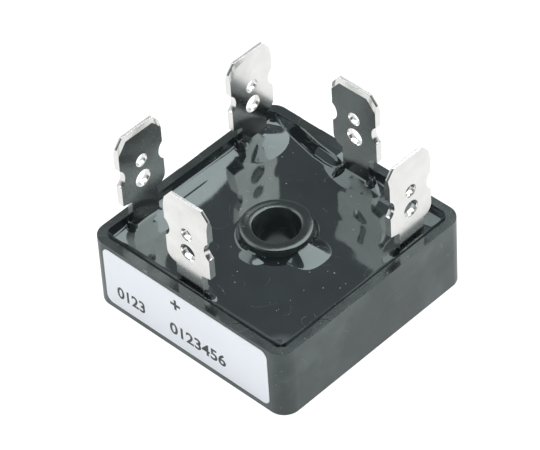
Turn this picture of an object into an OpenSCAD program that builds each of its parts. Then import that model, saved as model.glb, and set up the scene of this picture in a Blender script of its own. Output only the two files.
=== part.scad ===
// Three-phase bridge rectifier in a square potted case with one centre screw
// hole and five push-on blade terminals.
// Origin: centre of the screw hole on the mounting face. +Z is up, the label
// faces -Y. Millimetres.

/* [Case] */
// Outside width and depth of the square case
case_w = 28.5; // [27.5:0.5:32]
// Height from the mounting face to the rim
case_h = 9.2; // [8.8:0.2:11]
// Outside radius of the four upright corners
corner_r = 2; // [1.6:0.1:3]
// Wall thickness at the rim
wall_t = 1.2; // [1:0.1:1.3]
// Bevel on the outer edge of the rim
rim_bevel = 0.2; // [0.1:0.05:0.3]

/* [Screw bush] */
// Clearance hole for the fixing screw
screw_hole_d = 5.3; // [4.3:0.1:5.5]
// Outside diameter of the bush that stands up through the resin
bush_d = 8.2; // [8:0.1:8.8]

/* [Base] */
// Thickness of the metal base plate
base_t = 1.5; // [1.2:0.1:1.8]
// Thickness of the ceramic insulator on the base plate
insulator_t = 0.6; // [0.4:0.1:0.8]

/* [Blade terminals] */
// Blade width
blade_w = 6.35; // [5.6:0.05:6.5]
// Blade thickness
blade_t = 0.8; // [0.6:0.1:0.9]
// Height of the plus blade's tip above the mounting face
blade_top = 21.2; // [20.6:0.2:24]
// Width of the neck that enters the resin
neck_w = 3.8; // [3.4:0.1:4.2]
// Upper hole in each blade
small_hole_d = 1.65; // [1.2:0.05:1.9]
// Lower hole in each blade
large_hole_d = 2.15; // [1.6:0.05:2.4]
// Depth of the latch notch in each side of the blade
notch_d = 0.65; // [0.4:0.05:0.9]
// Distance from the case side to the middle of the blade next to it
blade_inset = 2.05; // [2:0.05:2.2]

/* [Potting resin] */
// Depth of the flat resin surface below the rim
resin_drop = 1.1; // [0.9:0.1:1.4]
// Width of the curved band where the resin climbs the walls
wall_climb_w = 2.2; // [1.4:0.1:2.6]
// Height the resin climbs
climb_h = 0.8; // [0.4:0.1:0.8]

/* [Label] */
// Length of the side label
label_w = 24.3; // [20:0.1:24.4]
// Height of the side label
label_h = 7.9; // [6:0.1:8]

/* [Hidden] */
$fn = 64;
half_w = case_w / 2;
cavity_half = half_w - wall_t;
cavity_r = 0.8;
rim_z = case_h;
resin_z = rim_z - resin_drop;
// A cut runs past the face it opens by this much.
over = 1;

// Base plate: sits in a rebate under the walls, held up against their ledge.
rebate_depth = 0.5;
plate_gap = 0.05;
rebate_half = cavity_half + rebate_depth;
rebate_r = cavity_r + rebate_depth;
plate_half = rebate_half - plate_gap;
plate_r = rebate_r - plate_gap;

// Bush: a shoulder presses the base plate down, a spigot lines its hole.
spigot_wall = 0.8;
spigot_gap = 0.05;
spigot_d = screw_hole_d + 2 * spigot_wall;
plate_hole_d = spigot_d + 2 * spigot_gap;
bush_bevel = 0.15;
bush_climb_w = 1.7;
bush_climb_h = 0.6;

// Resin round the blade necks: the slot behind each is full to just under the rim.
neck_climb_w = 1.3;
neck_climb_end = 0.4;
slot_drop = 0.15;

// Stack of the circuit, counted up from the base plate.
solder_t = 0.1;
bus_t = 0.5;
chip_t = 0.3;
chip_w = 3.2;
pad_w = 3;
insulator_gap = 0.65;
insulator_half = cavity_half - insulator_gap;
bush_gap = 0.5;
insulator_hole_d = bush_d + 2 * bush_gap;
plus_bus_z = base_t + insulator_t;
plus_bus_top = plus_bus_z + bus_t;
lower_chip_z = plus_bus_top + solder_t;
ac_foot_z = lower_chip_z + chip_t + solder_t;
upper_chip_z = ac_foot_z + blade_t + solder_t;
minus_bus_z = upper_chip_z + chip_t + solder_t;
minus_bus_top = minus_bus_z + bus_t;
plus_foot_z = plus_bus_top + solder_t;
minus_foot_z = minus_bus_top + solder_t;

// Blades, measured down from the tip.
stand = half_w - blade_inset;
tip_cut_w = 0.92;
tip_cut_h = 1.15;
tip_cut_lean = atan2(tip_cut_h, tip_cut_w);
tip_bevel_h = 0.55;
tip_flat = 0.36;
small_hole_z = 4.6;
large_hole_z = 7.15;
notch_z = 5.25;
notch_r = 1.5;
square_end_z = 9.1;
square_slope = 0.3;
round_end_z = 9.7;
round_end_r = (blade_w - neck_w) / 2;
bend_r = 0.4;
foot_reach = 5.7;
short_reach = 4.1;
// The feet of the middle layer end past the chips they carry.
chip_setback = 3.6;
chip_stand = stand - chip_setback;
bus_margin = 2.2;
bus_half = chip_stand + bus_margin;
bus_r = 1;
bus_hole_gap = 1;
bus_hole_d = bush_d + 2 * bus_hole_gap;
bus_notch_w = 5.2;
tongue_end = stand - blade_t / 2;
pad_setback = 2.2;

// Where the blades stand: the two outputs off the middle of their sides, the
// three inputs in from the case corner next to each, and how much higher or
// lower than the plus blade each was soldered in.
plus_shift = -0.55;
minus_shift = 0.75;
minus_lift = 0.2;
ac_corner = [6.35, 5.25, 6.55];
ac_lift = [0.5, -0.4, -0.15];
// Each seat: turn about Z, place along its side, side of the case (-1 or 1)
// and lift.
PLUS = [0, plus_shift, -1, 0];
MINUS = [0, minus_shift, 1, minus_lift];
AC = [[-90, half_w - ac_corner[0], -1, ac_lift[0]],
    [-90, ac_corner[1] - half_w, -1, ac_lift[1]],
    [-90, ac_corner[2] - half_w, 1, ac_lift[2]]];

// Ejector pin marks in the rim: [x, y] of each centre.
ejector_r = 1.45;
ejector_depth = 0.07;
ejector_shift = 8.2;
ejector_marks = [[ejector_shift, -half_w], [-ejector_shift, half_w],
    [half_w, -ejector_shift], [-half_w, ejector_shift - half_w / 2]];

// Label, centred by its own size between the case's edges.
label_t = 0.06;
label_r = 0.9;
label_x = -0.1;
label_drop = 0.5;
label_z = rim_z - label_drop - label_h / 2;

// ---- shared shapes ----

module rounded_square(half, r) {
    square([2 * half, 2 * (half - r)], center = true);
    square([2 * (half - r), 2 * half], center = true);
    for (x = [-1, 1])
        for (y = [-1, 1])
            translate([x * (half - r), y * (half - r)])
                circle(r);
}

module bevelled_block(half, r, height, bevel) {
    linear_extrude(height - bevel)
        rounded_square(half, r);
    translate([0, 0, height - bevel]) {
        for (a = [0, 90])
            rotate([90, 0, a])
                linear_extrude(2 * (half - r), center = true)
                    polygon([[-half, 0], [half, 0], [half - bevel, bevel], [bevel - half, bevel]]);
        for (x = [-1, 1])
            for (y = [-1, 1])
                translate([x * (half - r), y * (half - r), 0])
                    cylinder(h = bevel, r1 = r, r2 = r - bevel);
    }
}

// Section of resin climbing a wall at x = 0, flat at x = w.
module climb_section(w, h) {
    bow_r = (w * w + h * h) / (2 * h);
    difference() {
        square([w, h]);
        translate([w, bow_r])
            circle(bow_r);
    }
}

// Bus bar under or over the chips: a square ring with the corner that carries
// no chip cut out, and a tongue that reaches under one terminal's foot.
module bus_bar(seat) {
    difference() {
        union() {
            rounded_square(bus_half, bus_r);
            translate([seat[1] - neck_w / 2, min(seat[2] * tongue_end, 0)])
                square([neck_w, tongue_end]);
        }
        circle(d = bus_hole_d);
        translate([bus_half - bus_notch_w, -bus_half - over])
            square(bus_notch_w + over);
    }
}

// ---- blade terminal ----

// Front view of a blade and its neck, tip at y = 0, down to y = -reach.
module blade_outline(reach) {
    hw = blade_w / 2;
    hn = neck_w / 2;
    difference() {
        union() {
            polygon([[-hw, -round_end_z + round_end_r], [-hw, -tip_cut_h], [tip_cut_w - hw, 0],
                [hw - tip_cut_w, 0], [hw, -tip_cut_h], [hw, -square_end_z],
                [hn, -square_end_z - square_slope], [hn, -reach], [-hn, -reach],
                [-hn, -round_end_z + round_end_r]]);
            translate([-hn, -round_end_z + round_end_r])
                circle(round_end_r);
        }
        translate([0, -small_hole_z])
            circle(d = small_hole_d);
        translate([0, -large_hole_z])
            circle(d = large_hole_d);
        for (side = [-1, 1])
            translate([side * (hw + notch_r - notch_d), -notch_z])
                circle(notch_r);
    }
}

// Section of the strip: bevelled to a narrow tip on both faces.
module blade_edge(reach) {
    ht = blade_t / 2;
    polygon([[-ht, -reach], [-ht, -tip_bevel_h], [-tip_flat / 2, 0],
        [tip_flat / 2, 0], [ht, -tip_bevel_h], [ht, -reach]]);
}

// The bevelled strip that the blade is punched from, tip edge along X.
module tip_slab(reach) {
    rotate([90, 0, 90])
        linear_extrude(2 * reach, center = true)
            blade_edge(reach);
}

// The same strip with its tip edge along the cut corner of one side.
module corner_slab(reach, side) {
    translate([side * blade_w / 2, 0, -tip_cut_h])
        rotate([0, side * tip_cut_lean, 0])
            tip_slab(reach + blade_w);
}

// Side view of the foot: turned inwards with a bent heel, sole at y = 0.
module foot_section(reach) {
    ht = blade_t / 2;
    heel_r = bend_r + blade_t;
    difference() {
        union() {
            translate([-ht, heel_r])
                square([blade_t, bend_r]);
            translate([heel_r - ht, 0])
                square([reach - heel_r, blade_t]);
            translate([heel_r - ht, heel_r])
                intersection() {
                    circle(heel_r);
                    translate([-heel_r, -heel_r])
                        square(heel_r);
                }
        }
        translate([heel_r - ht, heel_r])
            circle(bend_r);
    }
}

module terminal(seat, foot_z, reach) {
    tip_z = blade_top + seat[3];
    leg = tip_z - foot_z - blade_t - 2 * bend_r;
    rotate([0, 0, seat[0]])
        translate([seat[1], seat[2] * stand, 0]) {
            translate([0, 0, tip_z])
                intersection() {
                    rotate([90, 0, 0])
                        linear_extrude(2 * blade_t, center = true)
                            blade_outline(leg);
                    tip_slab(leg);
                    corner_slab(leg, -1);
                    corner_slab(leg, 1);
                }
            translate([0, 0, foot_z])
                mirror([0, seat[2] > 0 ? 1 : 0, 0])
                    rotate([90, 0, 90])
                        linear_extrude(neck_w, center = true)
                            foot_section(reach);
        }
}

// Band of resin that climbs the inner face of one neck, and fills the slot
// between the neck and the wall next to it.
module neck_climb(seat) {
    ht = blade_t / 2;
    slot_w = blade_inset - ht - wall_t;
    rotate([0, 0, seat[0]])
        translate([seat[1], seat[2] * stand, resin_z])
            mirror([0, seat[2] > 0 ? 1 : 0, 0])
                rotate([90, 0, 90])
                    linear_extrude(neck_w + 2 * neck_climb_end, center = true) {
                        translate([ht, 0])
                            climb_section(neck_climb_w, climb_h);
                        translate([-ht - slot_w, -over])
                            square([slot_w + blade_t, over + resin_drop - slot_drop]);
                    }
}

// ---- the pieces ----

module case() {
    color([0.20, 0.21, 0.22])
        difference() {
            bevelled_block(half_w, corner_r, case_h, rim_bevel);
            translate([0, 0, -over])
                linear_extrude(case_h + 2 * over)
                    rounded_square(cavity_half, cavity_r);
            translate([0, 0, -over])
                linear_extrude(base_t + over)
                    rounded_square(rebate_half, rebate_r);
            for (m = ejector_marks)
                translate([m[0], m[1], rim_z - ejector_depth])
                    cylinder(h = over, r = ejector_r);
        }
}

module base_plate() {
    color([0.72, 0.73, 0.74])
        difference() {
            linear_extrude(base_t)
                rounded_square(plate_half, plate_r);
            translate([0, 0, -over])
                cylinder(h = base_t + 2 * over, d = plate_hole_d);
        }
}

module screw_bush() {
    color([0.16, 0.17, 0.18])
        difference() {
            union() {
                cylinder(h = base_t, d = spigot_d);
                translate([0, 0, base_t])
                    cylinder(h = case_h - base_t - bush_bevel, d = bush_d);
                translate([0, 0, case_h - bush_bevel])
                    cylinder(h = bush_bevel, d1 = bush_d, d2 = bush_d - 2 * bush_bevel);
            }
            translate([0, 0, -over])
                cylinder(h = case_h + 2 * over, d = screw_hole_d);
            translate([0, 0, case_h - bush_bevel])
                cylinder(h = 2 * bush_bevel, d1 = screw_hole_d, d2 = screw_hole_d + 4 * bush_bevel);
        }
}

module insulator() {
    color([0.93, 0.92, 0.89])
        translate([0, 0, base_t])
            linear_extrude(insulator_t)
                difference() {
                    rounded_square(insulator_half, cavity_r);
                    circle(d = insulator_hole_d);
                }
}

module plus_bus() {
    color([0.80, 0.48, 0.30])
        translate([0, 0, plus_bus_z])
            linear_extrude(bus_t)
                bus_bar(PLUS);
}

module minus_bus() {
    color([0.80, 0.48, 0.30])
        translate([0, 0, minus_bus_z])
            linear_extrude(bus_t)
                bus_bar(MINUS);
}

// Puts a child at the chip place of one alternating-current terminal.
module at_chip(seat, z) {
    rotate([0, 0, seat[0]])
        translate([seat[1], seat[2] * chip_stand, z])
            children();
}

module slab(w, h) {
    translate([-w / 2, -w / 2, 0])
        cube([w, w, h]);
}

module lower_diode(i) {
    color([0.45, 0.46, 0.50])
        at_chip(AC[i], lower_chip_z)
            slab(chip_w, chip_t);
}

module upper_diode(i) {
    color([0.45, 0.46, 0.50])
        at_chip(AC[i], upper_chip_z)
            slab(chip_w, chip_t);
}

// A pad over and under each chip, and one under each of the two end feet.
module solder_pads() {
    color([0.70, 0.71, 0.72]) {
        for (seat = AC)
            for (z = [lower_chip_z, upper_chip_z]) {
                at_chip(seat, z - solder_t)
                    slab(pad_w, solder_t);
                at_chip(seat, z + chip_t)
                    slab(pad_w, solder_t);
            }
        translate([PLUS[1], PLUS[2] * (stand - pad_setback), plus_bus_top])
            slab(pad_w, solder_t);
        translate([MINUS[1], MINUS[2] * (stand - pad_setback), minus_bus_top])
            slab(pad_w, solder_t);
    }
}

module plus_terminal() {
    color([0.84, 0.84, 0.82])
        terminal(PLUS, plus_foot_z, short_reach);
}

module minus_terminal() {
    color([0.84, 0.84, 0.82])
        terminal(MINUS, minus_foot_z, short_reach);
}

module ac_terminal(i) {
    color([0.84, 0.84, 0.82])
        terminal(AC[i], ac_foot_z, foot_reach);
}

module potting_resin() {
    seats = concat([PLUS, MINUS], AC);
    color([0.10, 0.11, 0.12])
        difference() {
            intersection() {
                union() {
                    translate([-half_w, -half_w, base_t])
                        cube([case_w, case_w, resin_z - base_t]);
                    for (a = [0, 90, 180, 270])
                        rotate([0, 0, a])
                            translate([-cavity_half, -cavity_half, resin_z])
                                rotate([90, 0, 90])
                                    linear_extrude(2 * cavity_half)
                                        climb_section(wall_climb_w, climb_h);
                    translate([0, 0, resin_z])
                        rotate_extrude()
                            translate([bush_d / 2, 0])
                                climb_section(bush_climb_w, bush_climb_h);
                    for (seat = seats)
                        neck_climb(seat);
                }
                translate([0, 0, base_t])
                    linear_extrude(case_h)
                        rounded_square(cavity_half, cavity_r);
            }
            translate([0, 0, base_t - over])
                cylinder(h = case_h + over, d = bush_d);
            insulator();
            plus_bus();
            minus_bus();
            solder_pads();
            for (i = [0 : 2]) {
                lower_diode(i);
                upper_diode(i);
                ac_terminal(i);
            }
            plus_terminal();
            minus_terminal();
        }
}

module label() {
    color([0.93, 0.95, 0.97])
        translate([label_x, -half_w, label_z])
            rotate([90, 0, 0])
                linear_extrude(label_t) {
                    square([label_w - 2 * label_r, label_h], center = true);
                    square([label_w, label_h - 2 * label_r], center = true);
                    for (x = [-1, 1])
                        for (y = [-1, 1])
                            translate([x * (label_w / 2 - label_r), y * (label_h / 2 - label_r)])
                                circle(label_r);
                }
}

case();
base_plate();
screw_bush();
insulator();
plus_bus();
minus_bus();
lower_diode(0);  // lower_diode_1
lower_diode(1);  // lower_diode_2
lower_diode(2);  // lower_diode_3
upper_diode(0);  // upper_diode_1
upper_diode(1);  // upper_diode_2
upper_diode(2);  // upper_diode_3
solder_pads();
plus_terminal();
minus_terminal();
ac_terminal(0);  // ac_terminal_1
ac_terminal(1);  // ac_terminal_2
ac_terminal(2);  // ac_terminal_3
potting_resin();
label();
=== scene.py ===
"""Finish of a potted three-phase bridge rectifier: moulded case, plated blades, cast resin, label and studio.

Run as a script around the packed frame. Lengths are metres; the frame's origin
is the centre of the screw hole on the mounting face, +Z up, label on -Y.
"""

import math

import bmesh
import bpy
import numpy as np
from mathutils import Matrix, Vector


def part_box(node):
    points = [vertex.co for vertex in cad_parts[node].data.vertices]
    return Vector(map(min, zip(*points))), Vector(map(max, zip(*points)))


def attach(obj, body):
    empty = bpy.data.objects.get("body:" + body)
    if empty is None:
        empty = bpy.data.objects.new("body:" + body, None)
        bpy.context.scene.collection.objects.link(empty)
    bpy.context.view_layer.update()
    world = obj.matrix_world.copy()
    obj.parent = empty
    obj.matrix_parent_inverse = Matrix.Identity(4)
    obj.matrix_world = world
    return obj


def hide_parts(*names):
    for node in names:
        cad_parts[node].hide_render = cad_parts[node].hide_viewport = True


bl_info = {
    "name": "Bridge rectifier finish",
    "version": (1, 0, 0),
    "blender": (4, 5, 0),
    "location": "3D View > Sidebar > Rectifier",
    "description": "Builds the moulded, plated and cast finish of a potted bridge rectifier",
    "category": "Object",
}

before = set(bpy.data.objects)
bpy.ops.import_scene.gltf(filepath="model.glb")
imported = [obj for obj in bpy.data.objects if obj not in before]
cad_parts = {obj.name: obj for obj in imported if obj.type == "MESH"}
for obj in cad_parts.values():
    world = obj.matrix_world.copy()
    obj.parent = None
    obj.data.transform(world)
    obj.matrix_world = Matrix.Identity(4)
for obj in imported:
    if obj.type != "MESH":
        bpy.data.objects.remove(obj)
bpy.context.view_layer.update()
MM = 0.001


def span(node, axis):
    """Size of a CAD node along one axis."""
    lo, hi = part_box(node)
    return hi[axis] - lo[axis]


def length(name, description, default, low=0.0, high=1.0):
    return bpy.props.FloatProperty(
        name=name, description=description, default=default, min=low, max=high,
        precision=5, unit="LENGTH", subtype="DISTANCE")


def tint(name, description, default):
    return bpy.props.FloatVectorProperty(
        name=name, description=description, default=default, size=3,
        min=0.0, max=1.0, subtype="COLOR")


def factor(name, description, default, high=1.0):
    return bpy.props.FloatProperty(
        name=name, description=description, default=default, min=0.0, max=high, subtype="FACTOR")


# ---------------------------------------------------------------- settings


class CaseSettings(bpy.types.PropertyGroup):
    """Moulded case, screw bush and base plate."""

    corner: length("Corner radius", "Radius of the four upright corners", 2.0 * MM)
    wall: length("Wall", "Wall thickness at the rim", 1.2 * MM)
    rebate: length("Rebate", "Step under the wall that holds the base plate", 0.5 * MM)
    edge_round: length("Edge rounding", "Rounding of the case's edges", 0.1 * MM)
    bore: length("Bore", "Radius of the screw hole", 2.65 * MM)
    bush_round: length("Bush rounding", "Rounding of the bush's edges", 0.16 * MM)
    plate_round: length("Plate rounding", "Rounding of the plate's edges", 0.12 * MM)
    plate_gap: length("Plate gap", "Gap between the bush and the plate's hole", 0.05 * MM)
    pin_radius: length("Pin radius", "Radius of an ejector pin mark", 1.45 * MM)
    pin_depth: length("Pin depth", "Depth of an ejector pin mark", 0.05 * MM)
    pin_shift: length("Pin shift", "Distance of a pin mark from the middle of its side", 8.2 * MM)
    spigot_wall: length("Spigot wall", "Wall of the bush where it lines the plate", 0.8 * MM)
    plastic: tint("Plastic", "Colour of the moulded plastic", (0.012, 0.0145, 0.0145))
    metal: tint("Base metal", "Colour of the base plate", (0.58, 0.59, 0.60))


class BladeSettings(bpy.types.PropertyGroup):
    """Push-on blades."""

    thickness: length("Thickness", "Thickness of the strip", 0.8 * MM)
    neck: length("Neck width", "Width of the neck in the resin", 3.8 * MM)
    corner_width: length("Corner width", "Width of the cut at a tip corner", 0.92 * MM)
    corner_height: length("Corner height", "Height of the cut at a tip corner", 1.15 * MM)
    tip_slope: length("Tip slope", "Height of the bevel round the tip", 0.55 * MM)
    tip_flat: length("Tip flat", "Thickness left at the tip's edge", 0.36 * MM)
    swept_end: length("Swept shoulder", "Distance from the tip to the swept shoulder's end", 9.7 * MM)
    square_end: length("Square shoulder", "Distance from the tip to the square shoulder", 9.1 * MM)
    square_slope: length("Square shoulder slope", "Drop of the square shoulder at the neck", 0.3 * MM)
    inner_bend: length("Inner bend", "Inner radius where the foot bends", 0.4 * MM)
    small_drop: length("Small hole drop", "Distance from the tip to the upper hole", 4.6 * MM)
    large_drop: length("Large hole drop", "Distance from the tip to the lower hole", 7.15 * MM)
    notch_drop: length("Notch drop", "Distance from the tip to the notches", 5.25 * MM)
    small_hole: length("Small hole", "Diameter of the upper hole", 1.65 * MM)
    large_hole: length("Large hole", "Diameter of the lower hole", 2.15 * MM)
    notch_depth: length("Notch depth", "Depth of the latch notches", 0.65 * MM)
    notch_radius: length("Notch radius", "Radius of the latch notches", 1.5 * MM)
    edge_round: length("Edge rounding", "Rounding of the stamped edges", 0.045 * MM)
    plating: tint("Plating", "Colour of the bright plating", (0.73, 0.73, 0.71))
    gloss: factor("Plating roughness", "Roughness of the rolled and plated faces", 0.2)


class ResinSettings(bpy.types.PropertyGroup):
    """Cast potting resin."""

    level: length("Level", "Height of the flat surface above the mounting face", 8.06 * MM)
    wall_climb: length("Wall climb", "Height that the surface climbs a wall", 1.12 * MM)
    corner: length("Corner radius", "Radius of the casting's four corners", 0.8 * MM)
    skirt: length("Skirt", "First drop of the sheet's edge when it is closed", 2.0 * MM)
    grid: bpy.props.IntProperty(
        name="Grid", description="Cells along one side of the surface", default=220, min=40, max=260)
    colour: tint("Resin", "Colour of the resin", (0.010, 0.0125, 0.0135))
    gloss: factor("Resin roughness", "Roughness of the cast surface", 0.06)


class LabelSettings(bpy.types.PropertyGroup):
    """Side label and its print."""

    digit_height: length("Digit height", "Height of the printed digits", 1.68 * MM)
    plus_size: length("Plus size", "Width and height of the plus sign", 1.45 * MM)
    print_height: length("Print height", "How proud of the paper the ink stands", 0.004 * MM)
    paper: tint("Paper", "Colour of the label", (0.87, 0.90, 0.93))
    ink: tint("Ink", "Colour of the print", (0.035, 0.037, 0.040))


class StageSettings(bpy.types.PropertyGroup):
    """Floor, lights and camera."""

    azimuth: bpy.props.FloatProperty(
        name="Azimuth", description="Camera's turn round the object, from the label side",
        default=math.radians(46.279), subtype="ANGLE")
    elevation: bpy.props.FloatProperty(
        name="Elevation", description="Camera's angle above the floor",
        default=math.radians(43.847), subtype="ANGLE")
    roll: bpy.props.FloatProperty(
        name="Roll", description="Camera's roll about its own axis",
        default=math.radians(-3.865), subtype="ANGLE")
    target: bpy.props.FloatVectorProperty(
        name="Target", description="Point that the camera looks at", size=3, precision=5,
        default=(-1.437 * MM, 0.412 * MM, 8.0 * MM), unit="LENGTH", subtype="XYZ")
    distance: length("Distance", "Camera's distance from its target", 0.37862)
    lens: bpy.props.FloatProperty(
        name="Focal length", description="Focal length in millimetres", default=234.25, min=10.0, max=400.0)
    white: tint("Sweep", "Colour of the floor and backdrop", (0.82, 0.82, 0.82))


GROUPS = (CaseSettings, BladeSettings, ResinSettings, LabelSettings, StageSettings)

# ---------------------------------------------------------------- modelling helpers


def deselect():
    if bpy.context.object and bpy.context.object.mode != "OBJECT":
        bpy.ops.object.mode_set(mode="OBJECT")
    bpy.ops.object.select_all(action="DESELECT")


def focus(obj):
    deselect()
    obj.select_set(True)
    bpy.context.view_layer.objects.active = obj


def added(name):
    """Names the primitive that was just added and puts its place in its mesh."""
    obj = bpy.context.object
    obj.name = obj.data.name = name
    bpy.ops.object.transform_apply(location=True, rotation=True, scale=True)
    return obj


def block(name, lo, hi):
    deselect()
    bpy.ops.mesh.primitive_cube_add(size=1, location=(Vector(lo) + Vector(hi)) / 2)
    bpy.context.object.scale = Vector(hi) - Vector(lo)
    return added(name)


def rod(name, radius, depth, location, sides=64, rotation=(0, 0, 0)):
    deselect()
    bpy.ops.mesh.primitive_cylinder_add(
        vertices=sides, radius=radius, depth=depth, location=location, rotation=rotation)
    return added(name)


def select(obj, kind, test):
    """In edit mode, selects the vertices, edges or faces whose middle and normal pass the test."""
    bpy.ops.mesh.select_mode(type=kind)
    bm = bmesh.from_edit_mesh(obj.data)
    bpy.ops.mesh.select_all(action="DESELECT")
    items = {"VERT": bm.verts, "EDGE": bm.edges, "FACE": bm.faces}[kind]
    for item in items:
        if kind == "VERT":
            item.select = test(item.co, item)
        elif kind == "EDGE":
            item.select = test((item.verts[0].co + item.verts[1].co) / 2, item)
        else:
            item.select = test(item.calc_center_median(), item)
    bm.select_flush_mode()
    bmesh.update_edit_mesh(obj.data)


def edit(obj):
    focus(obj)
    bpy.ops.object.mode_set(mode="EDIT")


def done():
    bpy.ops.object.mode_set(mode="OBJECT")


def upright(edge):
    a, b = (v.co for v in edge.verts)
    return abs(a.x - b.x) < 1e-7 and abs(a.y - b.y) < 1e-7


def cut(obj, tool, keep_tool=False):
    """Takes one closed shape out of another."""
    focus(obj)
    modifier = obj.modifiers.new("cut", "BOOLEAN")
    modifier.operation = "DIFFERENCE"
    modifier.solver = "EXACT"
    modifier.object = tool
    bpy.ops.object.modifier_apply(modifier=modifier.name)
    if not keep_tool:
        bpy.data.objects.remove(tool)


def round_edges(obj, width, segments=2, angle=35):
    focus(obj)
    modifier = obj.modifiers.new("round", "BEVEL")
    modifier.width = width
    modifier.segments = segments
    modifier.limit_method = "ANGLE"
    modifier.angle_limit = math.radians(angle)
    modifier.use_clamp_overlap = True
    bpy.ops.object.modifier_apply(modifier=modifier.name)


def clean(obj, angle=0.5):
    edit(obj)
    bpy.ops.mesh.select_all(action="SELECT")
    bpy.ops.mesh.remove_doubles(threshold=1e-7)
    bpy.ops.mesh.dissolve_limited(angle_limit=math.radians(angle))
    done()


def outward(obj):
    edit(obj)
    bpy.ops.mesh.select_all(action="SELECT")
    bpy.ops.mesh.normals_make_consistent(inside=False)
    done()


def smooth(obj, angle=32):
    focus(obj)
    bpy.ops.object.shade_smooth_by_angle(angle=math.radians(angle))


def flat_faces_lead(obj):
    """Weights the normals by face area, so broad faces stay flat and only the roundings shade."""
    focus(obj)
    modifier = obj.modifiers.new("weigh", "WEIGHTED_NORMAL")
    modifier.mode = "FACE_AREA"
    modifier.weight = 50
    modifier.keep_sharp = True
    bpy.ops.object.modifier_apply(modifier=modifier.name)


def finish_piece(obj, material, slot, *nodes):
    """Gives a piece its finish, seats it on the body and lets it stand for its CAD nodes."""
    obj.data.materials.clear()
    obj.data.materials.append(material)
    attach(obj, "root")
    if nodes:
        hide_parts(*nodes)
    return obj


def dress(node, material):
    """Gives a CAD node that stays a procedural finish."""
    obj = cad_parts[node]
    obj.data.materials.clear()
    obj.data.materials.append(material)


# ---------------------------------------------------------------- shader helpers


class Nodes:
    """A node tree with short calls to add nodes and link them."""

    def __init__(self, tree):
        self.tree = tree
        tree.nodes.clear()

    def add(self, kind, settings=None, **inputs):
        node = self.tree.nodes.new(kind)
        for key, value in (settings or {}).items():
            setattr(node, key, value)
        for key, value in inputs.items():
            self.put(node, key.replace("_", " "), value)
        return node

    def put(self, node, key, value):
        socket = node.inputs[int(key)] if key.isdigit() else node.inputs[key]
        if isinstance(value, bpy.types.NodeSocket):
            self.tree.links.new(value, socket)
        elif isinstance(value, bpy.types.Node):
            self.tree.links.new(value.outputs[0], socket)
        elif hasattr(socket.default_value, "__len__") and len(socket.default_value) == 4:
            socket.default_value = (*value[:3], 1.0)
        else:
            socket.default_value = value

    def math(self, operation, a, b=0.0, clamp=False):
        node = self.add("ShaderNodeMath", {"operation": operation, "use_clamp": clamp})
        self.put(node, "0", a)
        self.put(node, "1", b)
        return node.outputs[0]

    def mix(self, fac, a, b):
        node = self.add("ShaderNodeMix", {"data_type": "RGBA"})
        self.put(node, "0", fac)
        for socket, value in ((node.inputs[6], a), (node.inputs[7], b)):
            if isinstance(value, bpy.types.NodeSocket):
                self.tree.links.new(value, socket)
            else:
                socket.default_value = (*value[:3], 1.0)
        return node.outputs[2]

    def noise(self, vector, scale, detail=2.0, roughness=0.5):
        node = self.add("ShaderNodeTexNoise", Scale=scale, Detail=detail, Roughness=roughness)
        self.tree.links.new(vector, node.inputs["Vector"])
        return node.outputs["Fac"]

    def ramp(self, value, low, high, to_low=0.0, to_high=1.0, smooth_step=False):
        node = self.add("ShaderNodeMapRange")
        if smooth_step:
            node.interpolation_type = "SMOOTHSTEP"
        self.put(node, "Value", value)
        for key, number in (("From Min", low), ("From Max", high), ("To Min", to_low), ("To Max", to_high)):
            self.put(node, key, number)
        return node.outputs[0]

    def place(self, scale=(1, 1, 1), location=(0, 0, 0)):
        """Object coordinates, stretched."""
        coords = self.add("ShaderNodeTexCoord")
        mapping = self.add("ShaderNodeMapping", Scale=scale, Location=location)
        self.tree.links.new(coords.outputs["Object"], mapping.inputs["Vector"])
        return mapping.outputs[0]

    def group(self, tree, **inputs):
        node = self.tree.nodes.new("ShaderNodeGroup")
        node.node_tree = tree
        for key, value in inputs.items():
            self.put(node, key.replace("_", " "), value)
        return node

    def bump(self, height, distance, strength=1.0, normal=None):
        node = self.add("ShaderNodeBump", Strength=strength, Distance=distance)
        self.tree.links.new(height, node.inputs["Height"])
        if normal is not None:
            self.tree.links.new(normal, node.inputs["Normal"])
        return node.outputs[0]


def new_group(name, inputs, outputs):
    tree = bpy.data.node_groups.new(name, "ShaderNodeTree")
    for label, kind, default in inputs:
        socket = tree.interface.new_socket(label, in_out="INPUT", socket_type=kind)
        if default is not None:
            socket.default_value = default
    for label, kind in outputs:
        tree.interface.new_socket(label, in_out="OUTPUT", socket_type=kind)
    nodes = Nodes(tree)
    return tree, nodes, tree.nodes.new("NodeGroupInput"), tree.nodes.new("NodeGroupOutput")


def speck_group():
    """Dust specks: small pale dots, thinned out in clouds."""
    tree, n, gin, gout = new_group(
        "Dust specks",
        [("Vector", "NodeSocketVector", None), ("Density", "NodeSocketFloat", 1000.0),
         ("Size", "NodeSocketFloat", 0.1), ("Amount", "NodeSocketFloat", 0.3)],
        [("Mask", "NodeSocketFloat")])
    cells = n.add("ShaderNodeTexVoronoi", {"feature": "F1"})
    tree.links.new(gin.outputs["Vector"], cells.inputs["Vector"])
    tree.links.new(gin.outputs["Density"], cells.inputs["Scale"])
    dot = n.math("LESS_THAN", cells.outputs["Distance"], gin.outputs["Size"])
    chance = n.add("ShaderNodeSeparateColor")
    tree.links.new(cells.outputs["Color"], chance.inputs[0])
    cloud = n.noise(gin.outputs["Vector"], 220.0, 3.0)
    share = n.math("MULTIPLY", gin.outputs["Amount"], n.ramp(cloud, 0.35, 0.7))
    kept = n.math("LESS_THAN", chance.outputs[0], share)
    tree.links.new(n.math("MULTIPLY", dot, kept), gout.inputs["Mask"])
    return tree


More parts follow.
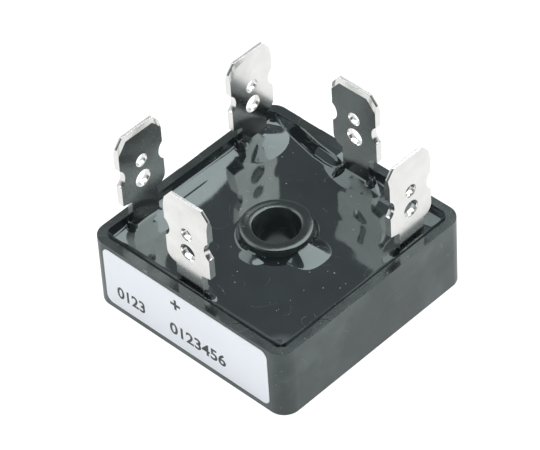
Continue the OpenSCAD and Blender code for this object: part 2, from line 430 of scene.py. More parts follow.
def scratch_group():
    """Hair-fine scratches and lint: thin curved lines that come and go."""
    tree, n, gin, gout = new_group(
        "Fine scratches",
        [("Vector", "NodeSocketVector", None), ("Scale", "NodeSocketFloat", 200.0),
         ("Width", "NodeSocketFloat", 0.01), ("Amount", "NodeSocketFloat", 0.5)],
        [("Mask", "NodeSocketFloat")])
    field = n.add("ShaderNodeTexNoise", Detail=1.0)
    tree.links.new(gin.outputs["Vector"], field.inputs["Vector"])
    tree.links.new(gin.outputs["Scale"], field.inputs["Scale"])
    off_line = n.math("ABSOLUTE", n.math("SUBTRACT", field.outputs["Fac"], 0.5))
    line = n.math("LESS_THAN", off_line, gin.outputs["Width"])
    patch = n.noise(gin.outputs["Vector"], 310.0, 1.0)
    kept = n.math("GREATER_THAN", patch, n.math("SUBTRACT", 1.0, gin.outputs["Amount"]))
    tree.links.new(n.math("MULTIPLY", line, kept), gout.inputs["Mask"])
    return tree


def grain_group():
    """Fine moulded or spark-eroded grain as a height, with a slower mottle."""
    tree, n, gin, gout = new_group(
        "Moulded grain",
        [("Vector", "NodeSocketVector", None), ("Grain", "NodeSocketFloat", 9000.0),
         ("Mottle", "NodeSocketFloat", 500.0)],
        [("Height", "NodeSocketFloat"), ("Cloud", "NodeSocketFloat")])
    fine = n.add("ShaderNodeTexNoise", Detail=3.0, Roughness=0.6)
    tree.links.new(gin.outputs["Vector"], fine.inputs["Vector"])
    tree.links.new(gin.outputs["Grain"], fine.inputs["Scale"])
    slow = n.add("ShaderNodeTexNoise", Detail=4.0, Roughness=0.55)
    tree.links.new(gin.outputs["Vector"], slow.inputs["Vector"])
    tree.links.new(gin.outputs["Mottle"], slow.inputs["Scale"])
    tree.links.new(fine.outputs["Fac"], gout.inputs["Height"])
    tree.links.new(slow.outputs["Fac"], gout.inputs["Cloud"])
    return tree


EFFECTS = {}


def effect(name):
    """A shared effect group, built once."""
    makers = {"specks": speck_group, "scratches": scratch_group, "grain": grain_group}
    if name not in EFFECTS:
        EFFECTS[name] = makers[name]()
    return EFFECTS[name]


def new_material(name):
    material = bpy.data.materials.new(name)
    material.use_nodes = True
    return material, Nodes(material.node_tree)


def close_material(n, shader):
    out = n.tree.nodes.new("ShaderNodeOutputMaterial")
    n.tree.links.new(shader.outputs[0], out.inputs["Surface"])


# Epoxy's refraction, and the slightly cool tone of what it mirrors.
RESIN_IOR = 1.6
COOL_GLOSS = (0.84, 1.0, 1.0, 1.0)


def plastic_material(name, colour, roughness=0.17, satin=0.38, grain=0.004 * MM):
    """Dark moulded plastic: glossier on top, satin sides with a mottled film, grain, dust and rubbed marks.
    Its colour is painted darker on upward faces and lighter on the sides, as painted shade and painted light.
    """
    material, n = new_material(name)
    at = n.place()
    grain_node = n.group(effect("grain"), Vector=at, Grain=5200.0, Mottle=330.0)
    patches = n.group(effect("grain"), Vector=n.place(location=(0.02, 0.01, 0)), Grain=1500.0, Mottle=140.0)
    dust = n.group(effect("specks"), Vector=at, Density=3600.0, Size=0.22, Amount=0.07)
    scratch = n.group(effect("scratches"), Vector=at, Scale=180.0, Width=0.0016, Amount=0.42)
    cloud = grain_node.outputs["Cloud"]
    film = n.math("MULTIPLY", n.ramp(patches.outputs["Cloud"], 0.42, 0.62),
                  n.ramp(cloud, 0.35, 0.65, 0.4, 1.0))
    geometry = n.add("ShaderNodeNewGeometry")
    facing = n.add("ShaderNodeSeparateXYZ")
    n.tree.links.new(geometry.outputs["Normal"], facing.inputs[0])
    side = n.ramp(facing.outputs["Z"], 0.2, 0.8, 1.0, 0.0)
    # Painted light and shade: side faces get the colour raised two to six times and upward faces get it
    # lowered to 0.55, so the sides read lighter and the tops darker.
    film_mottle_and_painted_side_light = n.mix(film, [c * 2.0 for c in colour], [c * 6.0 for c in colour])
    base = n.mix(side, [c * 0.55 for c in colour], film_mottle_and_painted_side_light)
    marks = n.math("MAXIMUM", dust.outputs[0], n.math("MULTIPLY", scratch.outputs[0], 0.6))
    base = n.mix(n.math("MULTIPLY", marks, 0.4), base, (0.34, 0.36, 0.36))
    rough = n.math("ADD", n.ramp(side, 0.0, 1.0, roughness, satin),
                   n.ramp(cloud, 0.3, 0.75, -0.03, 0.06))
    normal = n.bump(grain_node.outputs["Height"], grain, 1.0)
    shader = n.add("ShaderNodeBsdfPrincipled", Base_Color=base, Roughness=rough, Normal=normal)
    shader.inputs["IOR"].default_value = RESIN_IOR
    shader.inputs["Specular Tint"].default_value = COOL_GLOSS
    close_material(n, shader)
    return material


def resin_material(colour, roughness):
    """Glossy cast resin: slow waves, dust, lint and a few fine scratches."""
    material, n = new_material("Cast resin")
    at = n.place()
    wave = n.noise(at, 260.0, 1.0)
    fine = n.noise(at, 2600.0, 2.0)
    dust = n.group(effect("specks"), Vector=at, Density=2200.0, Size=0.16, Amount=0.16)
    grit = n.group(effect("specks"), Vector=at, Density=900.0, Size=0.10, Amount=0.12)
    scratch = n.group(effect("scratches"), Vector=at, Scale=260.0, Width=0.0012, Amount=0.40)
    marks = n.math("MAXIMUM", n.math("MAXIMUM", dust.outputs[0], grit.outputs[0]),
                   n.math("MULTIPLY", scratch.outputs[0], 0.5))
    base = n.mix(n.ramp(wave, 0.3, 0.7), colour, [c * 1.35 for c in colour])
    base = n.mix(n.math("MULTIPLY", marks, 0.5), base, (0.30, 0.32, 0.32))
    rough = n.math("ADD", n.ramp(fine, 0.3, 0.7, roughness - 0.02, roughness + 0.03),
                   n.math("MULTIPLY", marks, 0.3))
    normal = n.bump(n.math("ADD", wave, n.math("MULTIPLY", fine, 0.02)), 0.012 * MM, 0.5)
    shader = n.add("ShaderNodeBsdfPrincipled", Base_Color=base, Roughness=rough, Normal=normal)
    shader.inputs["IOR"].default_value = RESIN_IOR
    shader.inputs["Specular Tint"].default_value = COOL_GLOSS
    close_material(n, shader)
    return material


def plated_material(name, colour, roughness):
    """Bright plating over rolled strip: faint lines along the strip, smudges and pin specks."""
    material, n = new_material(name)
    at = n.place()
    lines = n.noise(n.place(scale=(1, 1, 0.05)), 9000.0, 3.0)
    smudge = n.noise(at, 420.0, 4.0, 0.6)
    specks = n.group(effect("specks"), Vector=at, Density=3200.0, Size=0.22, Amount=0.12)
    base = n.mix(n.ramp(smudge, 0.3, 0.75), colour, [c * 0.9 for c in colour])
    base = n.mix(n.math("MULTIPLY", specks.outputs[0], 0.35), base, (0.55, 0.54, 0.50))
    rough = n.math("ADD", n.ramp(smudge, 0.3, 0.75, roughness - 0.03, roughness + 0.05),
                   n.math("MULTIPLY", specks.outputs[0], 0.2))
    normal = n.bump(n.math("ADD", n.math("MULTIPLY", lines, 0.4), smudge), 0.0022 * MM, 0.5)
    shader = n.add("ShaderNodeBsdfPrincipled", Base_Color=base, Roughness=rough, Normal=normal)
    shader.inputs["Metallic"].default_value = 1.0
    close_material(n, shader)
    return material


def plain_material(name, colour, roughness, metallic=0.0, grain=0.004 * MM, scale=4000.0,
                   stretch=(1, 1, 1)):
    """A part that is mostly hidden: its own colour with mottle and fine grain."""
    material, n = new_material(name)
    at = n.place(scale=stretch)
    grain_node = n.group(effect("grain"), Vector=at, Grain=scale, Mottle=scale / 12)
    cloud = grain_node.outputs["Cloud"]
    base = n.mix(n.ramp(cloud, 0.3, 0.7), [c * 0.85 for c in colour], colour)
    rough = n.ramp(cloud, 0.3, 0.7, roughness - 0.06, roughness + 0.06)
    normal = n.bump(grain_node.outputs["Height"], grain, 0.6)
    shader = n.add("ShaderNodeBsdfPrincipled", Base_Color=base, Roughness=rough, Normal=normal)
    shader.inputs["Metallic"].default_value = metallic
    close_material(n, shader)
    return material


# ---------------------------------------------------------------- pieces


class RECTIFIER_OT_case(bpy.types.Operator):
    """Moulds the square case with its rounded corners, rebate, rim and pin marks"""

    bl_idname = "rectifier.case"
    bl_label = "Build case"

    def execute(self, context):
        s = context.scene.rectifier_case
        lo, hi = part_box("case")
        floor_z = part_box("base_plate")[1].z
        half = hi.x
        shell = block("case_shell", lo, hi)
        edit(shell)
        select(shell, "EDGE", lambda at, e: upright(e))
        bpy.ops.mesh.bevel(offset=s.corner, segments=12, affect="EDGES")
        select(shell, "FACE", lambda at, f: f.normal.z > 0.9)
        bpy.ops.mesh.inset(thickness=s.wall)
        bpy.ops.mesh.delete(type="FACE")
        select(shell, "FACE", lambda at, f: f.normal.z < -0.9)
        bpy.ops.mesh.inset(thickness=s.wall - s.rebate)
        bpy.ops.mesh.extrude_region_move(TRANSFORM_OT_translate={"value": (0, 0, floor_z - lo.z)})
        bpy.ops.mesh.inset(thickness=s.rebate)
        bpy.ops.mesh.delete(type="FACE")
        select(shell, "EDGE", lambda at, e: e.is_boundary)
        bpy.ops.mesh.bridge_edge_loops()
        bpy.ops.mesh.select_all(action="SELECT")
        bpy.ops.mesh.normals_make_consistent(inside=False)
        done()
        pins = [(s.pin_shift, -half), (-s.pin_shift, half),
                (half, -s.pin_shift), (-half, s.pin_shift - half / 2)]
        for x, y in pins:
            cut(shell, rod("pin", s.pin_radius, 2 * s.pin_depth, (x, y, hi.z)))
        clean(shell, 0.2)
        round_edges(shell, s.edge_round, 3, 50)
        smooth(shell)
        flat_faces_lead(shell)
        finish_piece(shell, plastic_material("Moulded case plastic", s.plastic), "case_plastic", "case")
        return {"FINISHED"}


class RECTIFIER_OT_bush(bpy.types.Operator):
    """Turns the screw bush: collar, bore and the spigot that lines the plate"""

    bl_idname = "rectifier.bush"
    bl_label = "Build screw bush"

    def execute(self, context):
        s = context.scene.rectifier_case
        lo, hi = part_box("screw_bush")
        seat_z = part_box("base_plate")[1].z
        radius = hi.x
        bush = rod("bush_collar", radius, hi.z - seat_z, (0, 0, (hi.z + seat_z) / 2), 128)
        edit(bush)
        select(bush, "FACE", lambda at, f: f.normal.z > 0.9)
        bpy.ops.mesh.inset(thickness=radius - s.bore)
        bpy.ops.mesh.delete(type="FACE")
        select(bush, "FACE", lambda at, f: f.normal.z < -0.9)
        bpy.ops.mesh.inset(thickness=radius - s.bore - s.spigot_wall)
        bpy.ops.mesh.extrude_region_move(TRANSFORM_OT_translate={"value": (0, 0, lo.z - seat_z)})
        bpy.ops.mesh.inset(thickness=s.spigot_wall)
        bpy.ops.mesh.delete(type="FACE")
        select(bush, "EDGE", lambda at, e: e.is_boundary)
        bpy.ops.mesh.bridge_edge_loops()
        bpy.ops.mesh.select_all(action="SELECT")
        bpy.ops.mesh.normals_make_consistent(inside=False)
        done()
        round_edges(bush, s.bush_round, 4, 50)
        smooth(bush)
        flat_faces_lead(bush)
        material = plastic_material("Bush plastic", s.plastic, 0.10, 0.14, 0.002 * MM)
        finish_piece(bush, material, "bush_plastic", "screw_bush")
        return {"FINISHED"}


class RECTIFIER_OT_base_plate(bpy.types.Operator):
    """Cuts the metal base plate with its broken edges"""

    bl_idname = "rectifier.base_plate"
    bl_label = "Build base plate"

    def execute(self, context):
        s = context.scene.rectifier_case
        lo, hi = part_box("base_plate")
        plate = block("mounting_plate", lo, hi)
        edit(plate)
        select(plate, "EDGE", lambda at, e: upright(e))
        bpy.ops.mesh.bevel(offset=s.corner - s.wall + s.rebate, segments=8, affect="EDGES")
        done()
        hole = s.bore + s.spigot_wall + s.plate_gap
        cut(plate, rod("hole", hole, 4 * (hi.z - lo.z), (0, 0, 0), 96))
        round_edges(plate, s.plate_round, 2, 50)
        smooth(plate)
        flat_faces_lead(plate)
        material = plain_material("Milled base plate", s.metal, 0.34, 1.0, 0.006 * MM, 5000.0, (1, 0.04, 1))
        finish_piece(plate, material, "base_metal", "base_plate")
        return {"FINISHED"}


BLADES = ("plus_terminal", "minus_terminal", "ac_terminal_1", "ac_terminal_2", "ac_terminal_3")


def blade_seat(node):
    """Where a blade stands in its own view: along its side, which side, tip, foot and reach.

    The three inputs are seen from the side: their own view is turned a quarter.
    """
    lo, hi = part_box(node)
    turned = node.startswith("ac")
    along = -(lo.y + hi.y) / 2 if turned else (lo.x + hi.x) / 2
    near, far = (lo.x, hi.x) if turned else (lo.y, hi.y)
    side = -1 if abs(near) > abs(far) else 1
    outer, inner = (near, far) if side < 0 else (far, near)
    return {"turned": turned, "along": along, "side": side, "outer": outer, "inner": inner,
            "tip": hi.z, "foot": lo.z}


# Length of neck that the master blade keeps below its shoulders.
NECK_STUB = 1.0 * MM


def master_blade(s):
    """One blade, tip at z = 0, with its neck cut off level: outline, holes, notches and bevelled tip."""
    width, thick = span("plus_terminal", 0), s.thickness
    hw, ht, hn = width / 2, thick / 2, s.neck / 2
    corner_w, corner_h = s.corner_width, s.corner_height
    sweep_end, square_end = s.swept_end, s.square_end
    blade = block("blade", (-hw, -ht, -sweep_end), (hw, ht, 0))
    edit(blade)
    select(blade, "EDGE", lambda at, e: at.x < -hw + 1e-6 and at.z < -sweep_end + 1e-6)
    bpy.ops.mesh.bevel(offset=hw - hn, segments=10, affect="EDGES")
    bpy.ops.mesh.select_all(action="SELECT")
    bpy.ops.mesh.bisect(plane_co=(hn, 0, 0), plane_no=(1, 0, 0), threshold=1e-8)
    select(blade, "VERT", lambda at, v: at.x > hw - 1e-6 and at.z < -sweep_end + 1e-6)
    bpy.ops.transform.translate(value=(0, 0, sweep_end - square_end))
    select(blade, "VERT", lambda at, v: abs(at.x - hn) < 1e-6 and at.z < -sweep_end + 1e-6)
    bpy.ops.transform.translate(value=(0, 0, sweep_end - square_end - s.square_slope))
    select(blade, "FACE", lambda at, f: f.normal.z < -0.5 and abs(at.x) < hn * 0.5)
    bpy.ops.mesh.extrude_region_move(TRANSFORM_OT_translate={"value": (0, 0, -NECK_STUB)})
    bpy.ops.transform.resize(value=(1, 1, 0), center_override=(0, 0, -sweep_end - NECK_STUB))
    for sign in (-1, 1):
        bpy.ops.mesh.select_all(action="SELECT")
        bpy.ops.mesh.bisect(plane_co=(sign * hw, 0, -corner_h), plane_no=(sign * corner_h, 0, corner_w),
                            use_fill=True, clear_outer=True, threshold=1e-8)
    drop = (thick - s.tip_flat) / 2
    lean = math.hypot(corner_h, corner_w)
    for across in (-1, 1):
        for x, z, nx, nz in ((0, 0, 0, 1), (hw, -corner_h, corner_h / lean, corner_w / lean),
                             (-hw, -corner_h, -corner_h / lean, corner_w / lean)):
            bpy.ops.mesh.select_all(action="SELECT")
            bpy.ops.mesh.bisect(plane_co=(x, across * s.tip_flat / 2, z),
                                plane_no=(drop * nx, across * s.tip_slope, drop * nz),
                                use_fill=True, clear_outer=True, threshold=1e-8)
    done()
    facing = (math.pi / 2, 0, 0)
    notch_x = hw + s.notch_radius - s.notch_depth
    for radius, x, z in ((s.small_hole / 2, 0, -s.small_drop), (s.large_hole / 2, 0, -s.large_drop),
                         (s.notch_radius, notch_x, -s.notch_drop),
                         (s.notch_radius, -notch_x, -s.notch_drop)):
        cut(blade, rod("punch", radius, 4 * thick, (x, 0, z), 56, facing))
    clean(blade)
    return blade


class RECTIFIER_OT_blades(bpy.types.Operator):
    """Stamps one blade and stands a copy, with its bent foot, at each of the five places"""

    bl_idname = "rectifier.blades"
    bl_label = "Build blades"

    def execute(self, context):
        s = context.scene.rectifier_blades
        master = master_blade(s)
        material = plated_material("Bright plated blade", s.plating, s.gloss)
        thick, inner_bend = s.thickness, s.inner_bend
        for node in BLADES:
            seat = blade_seat(node)
            blade = master.copy()
            blade.data = master.data.copy()
            blade.name = blade.data.name = node.replace("terminal", "blade")
            context.scene.collection.objects.link(blade)
            middle = seat["outer"] - seat["side"] * thick / 2
            inward = -seat["side"]
            edit(blade)
            bpy.ops.mesh.select_all(action="SELECT")
            bpy.ops.transform.translate(value=(seat["along"], middle, seat["tip"]))
            lowest = min(v.co.z for v in bmesh.from_edit_mesh(blade.data).verts)
            heel_top = seat["foot"] + thick + inner_bend
            select(blade, "FACE", lambda at, f: f.normal.z < -0.9 and at.z < lowest + 1e-6)
            bpy.ops.transform.translate(value=(0, 0, heel_top - lowest))
            bpy.ops.mesh.spin(
                steps=6, angle=-inward * math.pi / 2, axis=(1, 0, 0),
                center=(0, middle + inward * (thick / 2 + inner_bend), heel_top))
            end = middle + inward * (thick / 2 + inner_bend)
            bpy.ops.mesh.extrude_region_move(TRANSFORM_OT_translate={"value": (0, seat["inner"] - end, 0)})
            bpy.ops.mesh.select_all(action="SELECT")
            bpy.ops.mesh.remove_doubles(threshold=1e-7)
            bpy.ops.mesh.normals_make_consistent(inside=False)
            done()
            if seat["turned"]:
                blade.data.transform(Matrix.Rotation(-math.pi / 2, 4, "Z"))
            round_edges(blade, s.edge_round, 2, 20)
            smooth(blade, 30)
            flat_faces_lead(blade)
            finish_piece(blade, material, "plated_blade", node)
        bpy.data.objects.remove(master)
        return {"FINISHED"}


def box_distance(x, y, cx, cy, hx, hy):
    """Distance from points to an upright box, zero inside it."""
    return np.hypot(np.maximum(np.abs(x - cx) - hx, 0), np.maximum(np.abs(y - cy) - hy, 0))


def slope_up(distance, rise, reach, power=1.3):
    """Rise of resin that starts at reach and meets its wall at full height."""
    return rise * np.clip(1 - distance / reach, 0, 1) ** power


def step_up(distance, rise, foot, run=1.05):
    """Rise of resin that steps up steeply from its foot to a shelf along the wall."""
    u = np.clip((foot - distance) / run, 0, 1)
    return rise * u * u * (3 - 2 * u)


def fade(value, edge, width):
    """1 below the edge, 0 above it."""
    return 1 / (1 + np.exp(np.clip((value - edge) / width, -60, 60)))


# How the resin climbs each neck: reach and rise of the broad hollow, its spread
# along the case side, height and radius of the bead at the neck's edge.
NECK_CLIMB = {
    "plus_terminal": (1.7, 0.36, 3.2, 0.75, 0.42),
    "minus_terminal": (2.4, 0.50, 5.0, 0.85, 0.50),
    "ac_terminal_1": (3.1, 0.55, 4.0, 1.05, 0.46),
    "ac_terminal_2": (4.0, 0.78, 4.1, 1.15, 0.55),
    "ac_terminal_3": (2.2, 0.42, 3.9, 0.95, 0.44),
}


def hollow(distance, rise, reach):
    """Rise of a hollow meniscus: flat at its reach, steepening to full height at the wall."""
    return rise * np.clip(1 - distance / reach, 0, 1) ** 2


# Reach of the climb at the left wall against y, and of the step at the back
# wall against x, both in millimetres.
LEFT_REACH = ((-13, 2.5), (-9, 4.6), (-5, 6.0), (-2, 6.0), (2, 5.2), (5, 3.6), (8, 3.0), (13, 2.0))
BACK_REACH = ((-13, 0.7), (-10.5, 0.9), (-5.2, 1.9), (-1.3, 2.2), (3, 2.2))
# Exponent that blends the climbs, and the height where they level off.
BLEND = 4.0
CLIMB_LIMIT = 1.12


def profile(points, at):
    """Straight-line reading of a table of places and values."""
    return np.interp(at, *zip(*points))


def bell(x, y, at, size, sharpness=1.0):
    """A soft round patch: 1 in its middle, 0 well outside its size."""
    spread = np.abs((x - at[0]) / size[0]) ** 2 + np.abs((y - at[1]) / size[1]) ** 2
    return np.exp(-spread ** sharpness)


def wall_climbs(x, y, half, climb):
    """Climbs at the four walls, the step at the back and two filled corners."""
    to_left, to_front, to_right, to_back = half + x, half + y, half - x, half - y
    stepped = fade(x, -1.4, 0.25)
    return [
        hollow(to_left, 0.42, profile(LEFT_REACH, y)),
        hollow(to_left, climb, 1.0),
        hollow(to_front, climb, 1.15),
        hollow(to_right, climb, 1.0),
        hollow(to_back, climb, 1.1) * (1 - stepped),
        hollow(to_back, 0.4, 3.0) * (1 - stepped),
        step_up(to_back, 0.95, profile(BACK_REACH, x), 1.3) * stepped,
        hollow(np.hypot(to_right, to_front), 0.8, 3.5),
        hollow(np.hypot(to_left, to_back), 1.0, 2.6),
    ]


def bush_climbs(x, y, radius):
    """A thin climb all round the bush, with a broad lobe on the right and a small lip in front."""
    off_bush = np.maximum(np.hypot(x, y) - radius, 0)
    turn = np.arctan2(y, x)
    lobe = np.exp(-((turn - math.radians(-2)) / math.radians(27)) ** 4)
    lip = np.exp(-((turn + math.radians(84)) / math.radians(19)) ** 4)
    return [
        slope_up(off_bush, 0.04 + 0.44 * lobe + 0.16 * lip, 0.6 + 2.3 * lobe + 0.9 * lip, 1.2),
        hollow(off_bush, 0.28, 0.5),
    ]


def neck_climbs(x, y, node, blades):
    """The climb round one neck, its tight fillet and the bead at its edge."""
    reach, rise, spread, bead, bead_r = NECK_CLIMB[node]
    half_neck, half_thick = blades.neck / MM / 2, blades.thickness / MM / 2
    seat = blade_seat(node)
    along, side = seat["along"] / MM, seat["side"]
    middle = seat["outer"] / MM - side * half_thick
    lx, ly = (-y, x) if seat["turned"] else (x, y)
    ring = np.hypot((lx - along) / spread, (ly - middle) / reach)
    bead_at = (along + half_neck + 0.3 * bead_r, middle - side * 0.15)
    return [
        slope_up(ring, rise, 1.0, 1.12),
        hollow(box_distance(lx, ly, along, middle, half_neck, half_thick), 0.45, 0.6),
        bead * bell(lx, ly, bead_at, (bead_r, bead_r * 1.1), 1.3),
    ]


def resin_height(x, y, s, blades):
    """Height of the cast surface in millimetres: a shallow bowl that climbs every wall, neck and the bush."""
    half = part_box("potting_resin")[1].x / MM
    bush_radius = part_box("screw_bush")[1].x / MM
    rises = wall_climbs(x, y, half, s.wall_climb / MM) + bush_climbs(x, y, bush_radius)
    for node in BLADES:
        rises += neck_climbs(x, y, node, blades)
    rises.append(0.75 * bell(x, y, (-1.3, 11.35), (0.36, 0.75), 1.3))
    total = sum(np.maximum(h, 0) ** BLEND for h in rises) ** (1 / BLEND)
    bowl = 0.0010 * (x ** 2 + y ** 2)
    crease = -0.030 * np.exp(-((x + 11.35) / 0.16) ** 2) * np.exp(-((y + 1.5) / 2.6) ** 4)
    window = bell(x, y, (6.0, 4.8), (3.4, 3.8), 1.5)
    ripple = window * (0.020 * np.sin(1.3 * x + 0.7 * y + 0.6) + 0.016 * np.sin(0.7 * x - 1.5 * y + 1.9))
    slow = 0.004 * np.sin(0.9 * x + 0.4 * y) + 0.004 * np.sin(0.5 * x - 1.1 * y + 0.7)
    return s.level / MM + np.minimum(total, CLIMB_LIMIT) + bowl + crease + ripple + slow


class RECTIFIER_OT_resin(bpy.types.Operator):
    """Casts the resin: a fine sheet raised round walls, bush and necks, closed down to the base plate"""

    bl_idname = "rectifier.resin"
    bl_label = "Cast resin"

    def execute(self, context):
        s = context.scene.rectifier_resin
        lo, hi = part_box("potting_resin")
        half = hi.x
        deselect()
        bpy.ops.mesh.primitive_grid_add(
            x_subdivisions=s.grid, y_subdivisions=s.grid, size=2 * half, location=(0, 0, s.level))
        resin = added("cast_resin")
        co = np.zeros(len(resin.data.vertices) * 3)
        resin.data.vertices.foreach_get("co", co)
        co = co.reshape(-1, 3)
        centre = half - s.corner
        dx, dy = np.abs(co[:, 0]) - centre, np.abs(co[:, 1]) - centre
        at_corner = (dx > 0) & (dy > 0)
        ratio = np.ones(len(co))
        ratio[at_corner] = np.maximum(dx, dy)[at_corner] / np.hypot(dx, dy)[at_corner]
        for axis, d in ((0, dx), (1, dy)):
            co[at_corner, axis] = np.sign(co[at_corner, axis]) * (centre + d[at_corner] * ratio[at_corner])
        blades = context.scene.rectifier_blades
        co[:, 2] = resin_height(co[:, 0] / MM, co[:, 1] / MM, s, blades) * MM
        resin.data.vertices.foreach_set("co", co.ravel())
        edit(resin)
        select(resin, "EDGE", lambda at, e: e.is_boundary)
        bpy.ops.mesh.extrude_region_move(TRANSFORM_OT_translate={"value": (0, 0, -s.skirt)})
        bpy.ops.transform.resize(value=(1, 1, 0), center_override=(0, 0, lo.z))
        bpy.ops.mesh.edge_face_add()
        bpy.ops.mesh.select_all(action="SELECT")
        bpy.ops.mesh.normals_make_consistent(inside=False)
        done()
        bush_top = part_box("screw_bush")[1]
        cut(resin, rod("bush_core", bush_top.x, 4 * bush_top.z, (0, 0, 0), 128))
        smooth(resin, 60)
        finish_piece(resin, resin_material(s.colour, s.gloss), "potting", "potting_resin")
        return {"FINISHED"}


class RECTIFIER_OT_label(bpy.types.Operator):
    """Papers the side label and prints plain counting digits and the plus sign on it"""

    bl_idname = "rectifier.label"
    bl_label = "Print label"

    def execute(self, context):
        s = context.scene.rectifier_label
        lo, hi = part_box("label")
        material, n = new_material("Label paper")
        at = n.place()
        fibre = n.noise(at, 2400.0, 4.0, 0.6)
        slow = n.noise(at, 160.0, 2.0)
        paper = tuple(s.paper)
        base = n.mix(n.ramp(slow, 0.3, 0.7), paper, [c * 0.97 for c in paper])
        dust = n.group(effect("specks"), Vector=at, Density=1500.0, Size=0.1, Amount=0.03)
        base = n.mix(n.math("MULTIPLY", dust.outputs[0], 0.5), base, (0.25, 0.26, 0.27))
        shader = n.add("ShaderNodeBsdfPrincipled", Base_Color=base,
                       Roughness=n.ramp(fibre, 0.3, 0.7, 0.45, 0.6),
                       Normal=n.bump(fibre, 0.004 * MM, 0.5))
        close_material(n, shader)
        dress("label", material)

        ink = plain_material("Printed ink", tuple(s.ink), 0.5, 0.0, 0.001 * MM, 6000.0)
        # Text, its lower left corner, its width and its height.
        texts = (("0123", -10.5 * MM, 2.32 * MM, 4.2 * MM, s.digit_height),
                 ("0123456", -2.5 * MM, 2.28 * MM, 8.3 * MM, s.digit_height),
                 ("+", -2.1 * MM, 6.28 * MM, s.plus_size, s.plus_size))
        marks = []
        for body, x, z, wide, tall in texts:
            deselect()
            bpy.ops.object.text_add(location=(0, 0, 0))
            text = context.object
            text.data.body = body
            text.data.extrude = 0.5
            text.data.offset = 0.022
            text.data.resolution_u = 6
            bpy.ops.object.convert(target="MESH")
            corners = np.array([v.co for v in text.data.vertices])
            low, high = corners.min(0), corners.max(0)
            size = high - low
            fit = Matrix.Diagonal((wide / size[0], tall / size[1], s.print_height / size[2], 1))
            text.data.transform(Matrix.Translation(-Vector(low)))
            text.data.transform(fit)
            text.data.transform(Matrix.Rotation(math.pi / 2, 4, "X"))
            text.data.transform(Matrix.Translation((x, lo.y, z)))
            marks.append(text)
        deselect()
        for mark in marks:
            mark.select_set(True)
        context.view_layer.objects.active = marks[0]
        bpy.ops.object.join()
        printed = context.object
        printed.name = printed.data.name = "label_print"
        clean(printed)
        outward(printed)
        finish_piece(printed, ink, "label_face")
        return {"FINISHED"}


class RECTIFIER_OT_inside(bpy.types.Operator):
    """Gives the held parts inside the resin their own finishes"""

    bl_idname = "rectifier.inside"
    bl_label = "Finish inner parts"

    def execute(self, context):
        ceramic = plain_material("Ceramic", (0.80, 0.79, 0.75), 0.5)
        copper = plain_material("Copper bus", (0.72, 0.36, 0.22), 0.3, 1.0, 0.004 * MM, 5000.0, (1, 0.05, 1))
        silicon = plain_material("Silicon chip", (0.16, 0.17, 0.20), 0.22)
        solder = plain_material("Solder", (0.62, 0.62, 0.63), 0.35, 1.0)
        dress("insulator", ceramic)
        for node in ("plus_bus", "minus_bus"):
            dress(node, copper)
        for layer in ("lower", "upper"):
            for i in (1, 2, 3):
                dress(f"{layer}_diode_{i}", silicon)
        dress("solder_pads", solder)
        return {"FINISHED"}


# Softboxes: name, azimuth from +Y towards -X and elevation in degrees, width,
# height and radiance. All stand at the same distance.
SOFTBOXES = (("right_softbox", -10, 61, 0.744, 0.30, 4.6),
             ("left_softbox", 103, 51, 0.744, 0.25, 2.6))
SOFTBOX_DISTANCE = 0.6


def softbox(name, azimuth, elevation, width, height, radiance):
    """A rectangle of even light facing the object."""
    az, el = math.radians(azimuth), math.radians(elevation)
    toward = Vector((-math.sin(az) * math.cos(el), math.cos(az) * math.cos(el), math.sin(el)))
    data = bpy.data.lights.new(name, "AREA")
    data.shape = "RECTANGLE"
    data.size, data.size_y = width, height
    data.energy = radiance * math.pi * width * height
    light = bpy.data.objects.new(name, data)
    light.location = toward * SOFTBOX_DISTANCE + Vector((0, 0, 0.01))
    light.rotation_mode = "QUATERNION"
    light.rotation_quaternion = toward.to_track_quat("Z", "Y")
    bpy.context.scene.collection.objects.link(light)


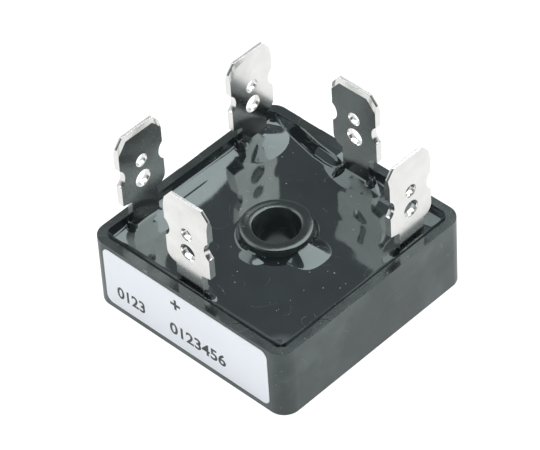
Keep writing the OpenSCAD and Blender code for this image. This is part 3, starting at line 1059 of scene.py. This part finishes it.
class RECTIFIER_OT_stage(bpy.types.Operator):
    """Sets the white floor, the sky-like tent, the two softboxes and the camera"""

    bl_idname = "rectifier.stage"
    bl_label = "Set stage"

    def execute(self, context):
        s = context.scene.rectifier_stage
        scene = context.scene
        deselect()
        bpy.ops.mesh.primitive_plane_add(size=6, location=(0, 0, 0))
        floor = added("floor")
        material, n = new_material("White sweep")
        path = n.add("ShaderNodeLightPath")
        seen = n.math("MAXIMUM", path.outputs["Is Camera Ray"], n.math(
            "MAXIMUM", path.outputs["Is Glossy Ray"], path.outputs["Is Transmission Ray"]))
        tone = n.mix(n.ramp(n.noise(n.place(), 3.0), 0.3, 0.7), s.white, [c * 0.98 for c in s.white])
        diffuse = n.add("ShaderNodeBsdfDiffuse", Color=tone)
        glow = n.add("ShaderNodeEmission", Color=(1, 1, 1), Strength=1.22)
        both = n.add("ShaderNodeMixShader")
        n.tree.links.new(n.math("MULTIPLY", seen, 0.80), both.inputs[0])
        n.tree.links.new(diffuse.outputs[0], both.inputs[1])
        n.tree.links.new(glow.outputs[0], both.inputs[2])
        below = n.add("ShaderNodeNewGeometry")
        clear = n.add("ShaderNodeBsdfTransparent", Color=(1, 1, 1))
        switch = n.add("ShaderNodeMixShader")
        n.tree.links.new(below.outputs["Backfacing"], switch.inputs[0])
        n.tree.links.new(both.outputs[0], switch.inputs[1])
        n.tree.links.new(clear.outputs[0], switch.inputs[2])
        close_material(n, switch)
        floor.data.materials.append(material)

        world = bpy.data.worlds.new("Studio tent")
        scene.world = world
        world.use_nodes = True
        w = Nodes(world.node_tree)
        path = w.add("ShaderNodeLightPath")
        coords = w.add("ShaderNodeTexCoord")
        split = w.add("ShaderNodeSeparateXYZ")
        w.tree.links.new(coords.outputs["Generated"], split.inputs[0])
        toward_camera = (math.sin(s.azimuth), -math.cos(s.azimuth), 0)
        ahead = w.add("ShaderNodeVectorMath", {"operation": "DOT_PRODUCT"})
        ahead.inputs[1].default_value = toward_camera
        w.tree.links.new(coords.outputs["Generated"], ahead.inputs[0])
        dim = w.ramp(split.outputs["Z"], 0.40, 0.60, 1.0, 0.5)
        top = w.ramp(split.outputs["Z"], 0.84, 0.95, 1.0, 0.12)
        room = w.ramp(ahead.outputs["Value"], 0.0, 0.2, 1.0, 0.1)
        mirrored = w.math("MULTIPLY", w.math("MULTIPLY", dim, top), room)
        level = w.mix(path.outputs["Is Diffuse Ray"], (0, 0, 0), (0.7, 0.7, 0.7))
        not_diffuse = w.math("SUBTRACT", 1.0, path.outputs["Is Diffuse Ray"])
        level = w.math("ADD", level, w.math("MULTIPLY", mirrored, not_diffuse))
        level = w.math("MAXIMUM", level, path.outputs["Is Camera Ray"])
        tone = w.mix(path.outputs["Is Camera Ray"], (0.93, 0.965, 1.0), (1, 1, 1))
        background = w.add("ShaderNodeBackground", Color=tone, Strength=level)
        out = w.tree.nodes.new("ShaderNodeOutputWorld")
        w.tree.links.new(background.outputs[0], out.inputs[0])

        for light in SOFTBOXES:
            softbox(*light)

        camera = bpy.data.objects.new("camera", bpy.data.cameras.new("camera"))
        scene.collection.objects.link(camera)
        back = Vector((math.sin(s.azimuth) * math.cos(s.elevation),
                       -math.cos(s.azimuth) * math.cos(s.elevation), math.sin(s.elevation)))
        camera.location = Vector(s.target) + back * s.distance
        camera.rotation_mode = "QUATERNION"
        roll = Matrix.Rotation(s.roll, 4, "Z").to_quaternion()
        camera.rotation_quaternion = (-back).to_track_quat("-Z", "Y") @ roll
        camera.data.lens = s.lens
        camera.data.sensor_width = 36
        camera.data.clip_start, camera.data.clip_end = 0.01, 20
        scene.camera = camera
        scene.view_settings.view_transform = "Standard"
        return {"FINISHED"}


class RECTIFIER_PT_panel(bpy.types.Panel):
    """Lists the pieces and their settings"""

    bl_idname = "RECTIFIER_PT_panel"
    bl_label = "Bridge rectifier"
    bl_space_type = "VIEW_3D"
    bl_region_type = "UI"
    bl_category = "Rectifier"

    def draw(self, context):
        column = self.layout.column()
        for operator in OPERATORS:
            column.operator(operator.bl_idname)
        for name in SETTINGS:
            group = getattr(context.scene, name)
            box = self.layout.box()
            box.label(text=group.__doc__)
            for key in group.__annotations__:
                box.prop(group, key)


OPERATORS = (RECTIFIER_OT_stage, RECTIFIER_OT_case, RECTIFIER_OT_bush, RECTIFIER_OT_base_plate,
             RECTIFIER_OT_blades, RECTIFIER_OT_resin, RECTIFIER_OT_label, RECTIFIER_OT_inside)
SETTINGS = {"rectifier_case": CaseSettings, "rectifier_blades": BladeSettings,
            "rectifier_resin": ResinSettings, "rectifier_label": LabelSettings,
            "rectifier_stage": StageSettings}
CLASSES = (*GROUPS, *OPERATORS, RECTIFIER_PT_panel)


def register():
    for cls in CLASSES:
        bpy.utils.register_class(cls)
    for name, group in SETTINGS.items():
        setattr(bpy.types.Scene, name, bpy.props.PointerProperty(type=group))


def unregister():
    for name in SETTINGS:
        delattr(bpy.types.Scene, name)
    for cls in reversed(CLASSES):
        bpy.utils.unregister_class(cls)


def main():
    register()
    for operator in OPERATORS:
        family, name = operator.bl_idname.split(".")
        result = getattr(getattr(bpy.ops, family), name)()
        if "FINISHED" not in result:
            raise RuntimeError(f"{operator.bl_label} did not finish")
    deselect()


if __name__ == "__main__":
    main()
